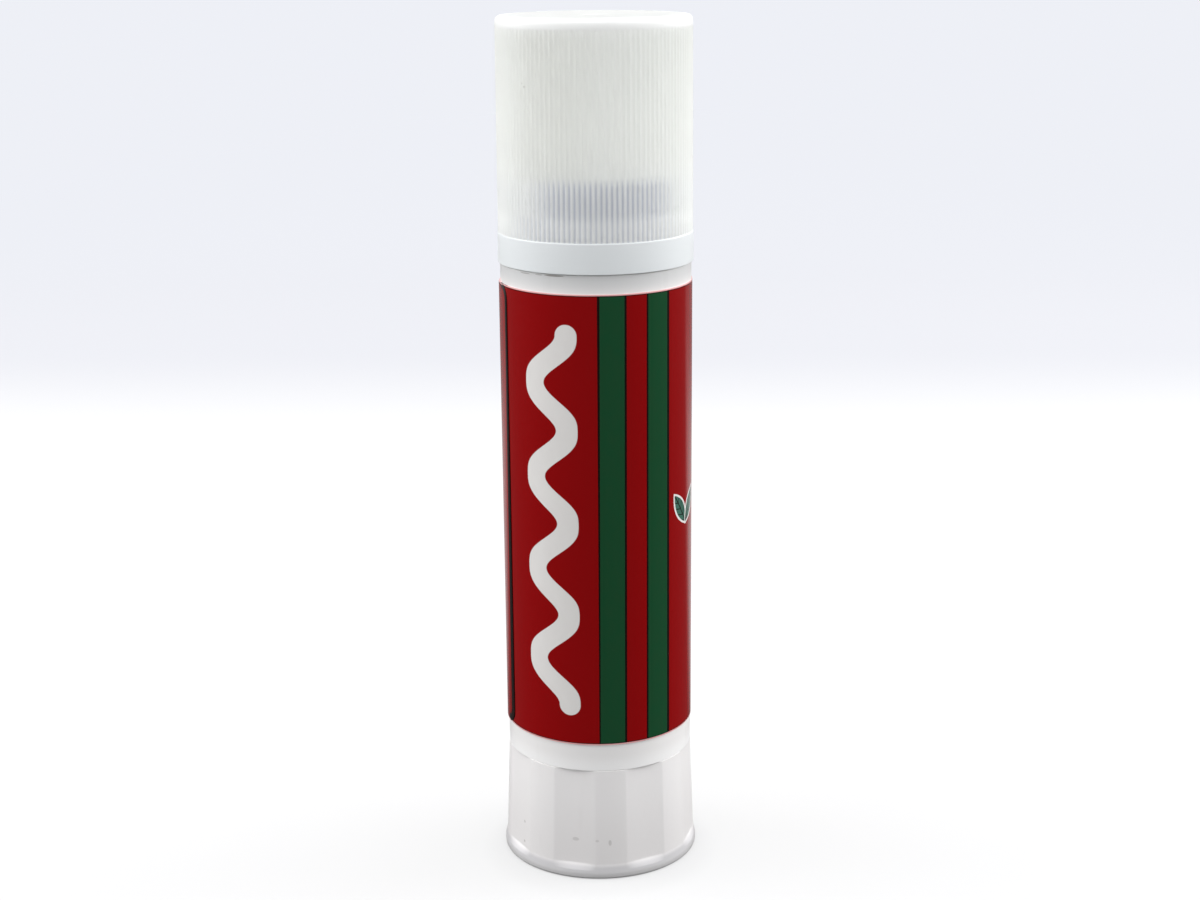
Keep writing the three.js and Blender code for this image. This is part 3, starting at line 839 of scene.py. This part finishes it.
studio = {
    "width": 3.0,  # metres, as are the rest
    "front": -1.5,
    "bendStart": 0.45,
    "bend": 0.25,
    "top": 1.6,
    "turnsBlueAt": (0.20, 0.33),  # where the white floor turns into the cooler wall behind
    "farFrom": (0.0, 0.05),  # the floor behind the stick starts where y - 0.9 |x| rises through these
    "nearBounce": (0.03, 0.03, 0.03),
    "farBounce": (0.3, 0.3, 0.3),
    "deepFrom": (0.16, 0.32),
    "deepBounce": (0.13, 0.13, 0.13),
    "floorSeen": (0.775, 0.775, 0.78),
    "wallSeen": (0.863, 0.876, 0.939),
    "floorColour": (0.86, 0.86, 0.86),
    "wallColour": (0.45, 0.45, 0.46),
    "seenShare": 0.7,
    "farAway": (0.38, 0.6),  # distances from the stick over which the lamps stop showing on the paper
    "edge": (0.7, 1.1),  # and over which the floor turns into the wall's colour on every side
    "contactShadow": (13.0, 17.0, 0.055),  # painted shadow: millimetres from the foot's middle, and how much darker the floor is painted there
    "skySeen": (0.855, 0.871, 0.925),
    "worldLight": 1.06,
    "worldColour": (0.98, 0.99, 1.0),
    "lamps": [  # name, place, aims at, size, watts
        ("leftBack", (-0.68, 0.22, 0.35), (0, 0, 0.06), (0.7, 0.6), 2.9),
        ("rightBack", (0.66, 0.29, 0.35), (0, 0, 0.06), (0.7, 0.6), 4.4),
        ("overhead", (0.0, -0.1, 0.95), (0, 0, 0.0), (1.1, 1.1), 4.0),
        ("backWash", (0.0, 0.62, 0.45), (0, 0, 0.08), (1.1, 0.6), 3.4),
        ("leftSide", (-0.75, -0.05, 0.60), (0, 0, 0.06), (0.8, 0.6), 2.4),
        ("rightSide", (0.75, -0.05, 0.60), (0, 0, 0.06), (0.8, 0.6), 1.8),
    ],
}


# A floor that turns up into a wall: the flat, a quarter circle of points and the wall, carried across its width.
def sweepMesh(s):
    t = np.linspace(0, np.pi / 2, 25)
    y = np.concatenate([[s["front"], 0, s["bendStart"] * 0.9], s["bendStart"] + s["bend"] * np.sin(t)])
    z = np.concatenate([[0, 0, 0], s["bend"] * (1 - np.cos(t))])
    y, z = np.append(y, y[-1]), np.append(z, s["top"])
    x = np.linspace(-0.5, 0.5, 9)[:, None] * s["width"]
    grid = np.stack(np.broadcast_arrays(x, y, z), -1)
    cells = np.arange(grid.shape[0] * grid.shape[1]).reshape(grid.shape[:2])
    quads = np.stack([cells[:-1, :-1], cells[1:, :-1], cells[1:, 1:], cells[:-1, 1:]], -1)
    mesh = bpy.data.meshes.new("sweep")
    mesh.from_pydata(grid.reshape(-1, 3).tolist(), [], quads.reshape(-1, 4).tolist())
    mesh.polygons.foreach_set("use_smooth", np.ones(len(mesh.polygons), bool))
    mesh.update()
    return mesh


# Near the stick the camera sees plain brightness for the seen share and lit paper for the rest, which keeps the
# shadow. Far away it sees plain brightness alone. Light that bounces gets the darker bounce colours.
def sweepFinish(s):
    f = Finish("paperSweep")
    back = f.rise(f.y, s["turnsBlueAt"][0] * 1000, s["turnsBlueAt"][1] * 1000)
    fibre = f.noise(1200, detail=4.0)
    behind = f.rise(f.y - abs(f.x) * 0.9, s["farFrom"][0] * 1000, s["farFrom"][1] * 1000)
    deep = f.rise(f.y, s["deepFrom"][0] * 1000, s["deepFrom"][1] * 1000)
    bounce = f.blend(behind, s["nearBounce"], f.blend(deep, s["farBounce"], s["deepBounce"]))
    watched = f.node("LightPath", {}, {}, "Is Camera Ray")
    shown = f.blend(back, f.blend(fibre * 0.06, s["floorColour"], (0.7, 0.7, 0.7)), s["wallColour"])
    paper = f.blend(watched, bounce, shown)
    paper = f.principled(Base_Color=paper, Roughness=0.9, Specular_IOR_Level=0.1)
    inner, outer, dark = s["contactShadow"]
    distance = f.length(f.x, f.y + 3)
    seen = f.blend(back, s["floorSeen"], s["wallSeen"])
    # Painted contact shadow around the foot
    seen = f.blend((1 - f.rise(distance, inner, outer)) * dark, seen, (0.0, 0.0, 0.0))
    far = f.rise(distance, s["farAway"][0] * 1000, s["farAway"][1] * 1000)
    edge = f.larger(back, f.rise(distance, s["edge"][0] * 1000, s["edge"][1] * 1000))
    seen = f.blend(far, seen, f.blend(edge, (1.0, 1.0, 1.0), s["skySeen"]))
    plain = f.node("Emission", {}, {"Color": seen, "Strength": 1.0})
    share = watched * (far * (1 - s["seenShare"]) + s["seenShare"])
    return f.done(f.node("MixShader", {}, {0: share, 1: paper, 2: plain}))


def addStudio(s):
    sweep = bpy.data.objects.new("sweep", sweepMesh(s))
    sweep.data.materials.append(sweepFinish(s))
    scene.collection.objects.link(sweep)
    for name, place, aim, size, watts in s["lamps"]:
        lamp = bpy.data.lights.new(name, "AREA")
        lamp.shape = "RECTANGLE"
        lamp.size, lamp.size_y = size
        lamp.energy = watts
        holder = bpy.data.objects.new(name, lamp)
        holder.location = place
        holder.rotation_euler = (Vector(aim) - Vector(place)).to_track_quat("-Z", "Y").to_euler()
        holder.visible_camera = False
        scene.collection.objects.link(holder)
    sky = bpy.data.worlds.new("studio")
    sky.use_nodes = True
    nodes, links = sky.node_tree.nodes, sky.node_tree.links
    nodes.clear()
    lit, seen = nodes.new("ShaderNodeBackground"), nodes.new("ShaderNodeBackground")
    lit.inputs[0].default_value, lit.inputs[1].default_value = (*s["worldColour"], 1), s["worldLight"]
    seen.inputs[0].default_value, seen.inputs[1].default_value = (*s["skySeen"], 1), 1.0
    path, mix, end = (nodes.new("ShaderNode" + kind) for kind in ("LightPath", "MixShader", "OutputWorld"))
    links.new(path.outputs["Is Camera Ray"], mix.inputs[0])
    links.new(lit.outputs[0], mix.inputs[1])
    links.new(seen.outputs[0], mix.inputs[2])
    links.new(mix.outputs[0], end.inputs[0])
    scene.world = sky
    print("studio lit")


addStudio(studio)
